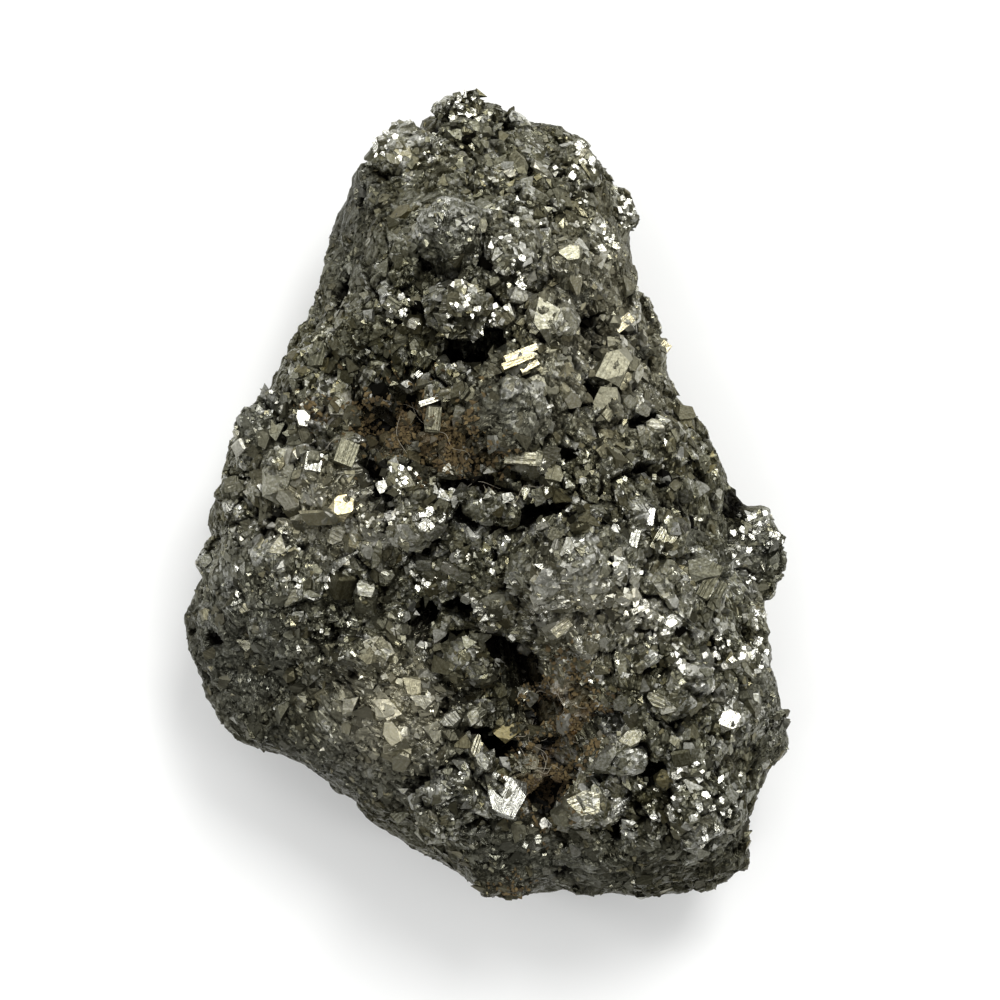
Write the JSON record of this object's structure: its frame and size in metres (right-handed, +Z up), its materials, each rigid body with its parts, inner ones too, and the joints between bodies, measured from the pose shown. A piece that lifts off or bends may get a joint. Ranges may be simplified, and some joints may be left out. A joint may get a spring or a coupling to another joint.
{
  "type": "pyrite specimen",
  "caption": "Hand-sized natural lump of intergrown metallic pyrite crystals and nodules with open pockets, lying on its back, for display or study.",
  "frame": {"origin": "middle of the specimen's box, on the surface that it lies on", "axes": "+Z up out of the crystal-covered front, +Y along the length towards the narrow end, +X across the width towards the round side lobe"},
  "size_m": [0.0558, 0.075, 0.035],
  "materials": {
    "pyrite": "satin"
  },
  "bodies": {
    "root": {"pyrite_specimen": "pyrite"}
  },
  "joints": []
}
